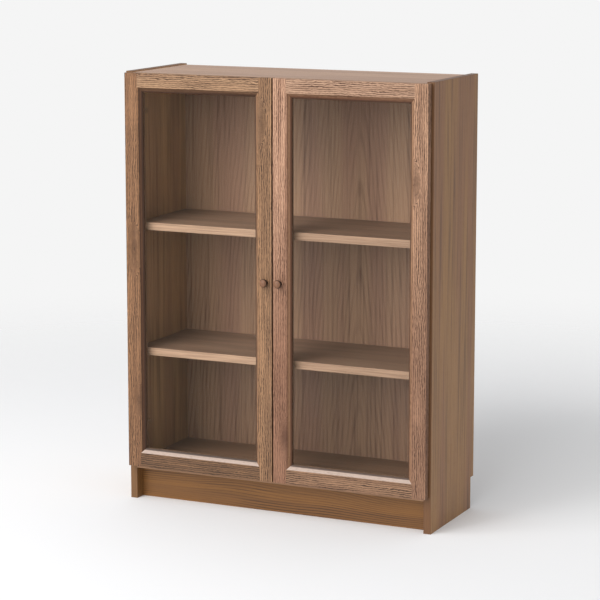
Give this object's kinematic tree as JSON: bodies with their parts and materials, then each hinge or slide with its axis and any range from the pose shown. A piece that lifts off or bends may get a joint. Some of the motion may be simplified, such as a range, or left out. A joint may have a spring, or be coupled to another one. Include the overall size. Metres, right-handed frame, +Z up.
{
  "type": "bookcase with glass doors",
  "caption": "Upright bookcase with framed glass doors on concealed four-bar hinges, shelves on pins, turned knobs, a recessed plinth and skirting notches.",
  "frame": {"origin": "middle of the bounding box at floor level", "axes": "+Z up, the doors face -Y, +X to the right as seen from the front"},
  "size_m": [0.8, 0.318, 1.06],
  "materials": {
    "side_foil": "satin walnut-look foil on board, upright figure",
    "board_foil": "satin walnut-look foil on board",
    "shelf_foil": "satin walnut-look foil on board, light edge",
    "plinth_foil": "satin walnut-look foil, level figure",
    "back_foil": "thin printed board, upright figure",
    "door_wood": "satin wood with an open pressed grain",
    "door_glass": "clear flat glass",
    "bead_wood": "satin brown strip",
    "dowel_wood": "plain beech",
    "knob_wood": "satin turned wood",
    "bumper_soft": "translucent soft pad",
    "screw_steel": "zinc-plated",
    "pin_steel": "zinc-plated",
    "cam_metal": "cast zinc, dull",
    "hinge_steel": "bronze-coloured plating"
  },
  "bodies": {
    "carcass": {"back_panel": "back_foil", "back_panel_nails": "screw_steel", "bottom_panel": "board_foil", "cam_bolts": "screw_steel", "cam_nuts": "cam_metal", "hinge_arm_pins_left": "hinge_steel", "hinge_arm_pins_right": "hinge_steel", "hinge_arm_screws_left": "screw_steel", "hinge_arm_screws_right": "screw_steel", "hinge_arms_left": "hinge_steel", "hinge_arms_right": "hinge_steel", "hinge_plate_screws_left": "screw_steel", "hinge_plate_screws_right": "screw_steel", "hinge_plates_left": "hinge_steel", "hinge_plates_right": "hinge_steel", "panel_dowels": "dowel_wood", "plinth": "plinth_foil", "shelf_lower": "shelf_foil", "shelf_pins": "pin_steel", "shelf_upper": "shelf_foil", "side_panel_left": "side_foil", "side_panel_right": "side_foil", "top_panel": "board_foil"},
    "outer_links_right": {"hinge_outer_links_right": "hinge_steel"},
    "inner_links_right": {"hinge_inner_links_right": "hinge_steel"},
    "door_right": {"door_bumpers_right": "bumper_soft", "door_frame_dowels_right": "dowel_wood", "door_glass_right": "door_glass", "door_glazing_beads_right": "bead_wood", "door_rail_bottom_right": "door_wood", "door_rail_top_right": "door_wood", "door_stile_hinge_right": "door_wood", "door_stile_meeting_right": "door_wood", "hinge_cup_pins_right": "hinge_steel", "hinge_cup_screws_right": "screw_steel", "hinge_cups_right": "hinge_steel", "knob_right": "knob_wood", "knob_screw_right": "screw_steel"},
    "outer_links_left": {"hinge_outer_links_left": "hinge_steel"},
    "inner_links_left": {"hinge_inner_links_left": "hinge_steel"},
    "door_left": {"door_bumpers_left": "bumper_soft", "door_frame_dowels_left": "dowel_wood", "door_glass_left": "door_glass", "door_glazing_beads_left": "bead_wood", "door_rail_bottom_left": "door_wood", "door_rail_top_left": "door_wood", "door_stile_hinge_left": "door_wood", "door_stile_meeting_left": "door_wood", "hinge_cup_pins_left": "hinge_steel", "hinge_cup_screws_left": "screw_steel", "hinge_cups_left": "hinge_steel", "knob_left": "knob_wood", "knob_screw_left": "screw_steel"}
  },
  "joints": [
    {"name": "outer_link_right_swing", "type": "hinge", "parent": "carcass", "child": "outer_links_right", "pos_m": [0.357, -0.11672, 0.572], "axis": [0, 0, 1], "range_deg": [-25.7, 0]},
    {"name": "door_right_swing", "type": "hinge", "parent": "outer_links_right", "child": "door_right", "pos_m": [0.38464, -0.1236, 0.572], "axis": [0, 0, 1], "range_deg": [0, 117.6]},
    {"name": "inner_link_right_swing", "type": "hinge", "parent": "carcass", "child": "inner_links_right", "pos_m": [0.37545, -0.1315, 0.572], "axis": [0, 0, 1], "range_deg": [-40.9, 0]},
    {"name": "outer_link_left_swing", "type": "hinge", "parent": "carcass", "child": "outer_links_left", "pos_m": [-0.357, -0.11672, 0.572], "axis": [0, 0, -1], "range_deg": [-25.7, 0]},
    {"name": "door_left_swing", "type": "hinge", "parent": "outer_links_left", "child": "door_left", "pos_m": [-0.38464, -0.1236, 0.572], "axis": [0, 0, -1], "range_deg": [0, 117.6]},
    {"name": "inner_link_left_swing", "type": "hinge", "parent": "carcass", "child": "inner_links_left", "pos_m": [-0.37545, -0.1315, 0.572], "axis": [0, 0, -1], "range_deg": [-40.9, 0]}
  ],
  "couplings": [
    {"joint": "outer_link_right_swing", "follows": "door_right_swing", "ratio": -0.21814},
    {"joint": "inner_link_right_swing", "follows": "door_right_swing", "ratio": -0.34715},
    {"joint": "outer_link_left_swing", "follows": "door_left_swing", "ratio": -0.21814},
    {"joint": "inner_link_left_swing", "follows": "door_left_swing", "ratio": -0.34715}
  ]
}
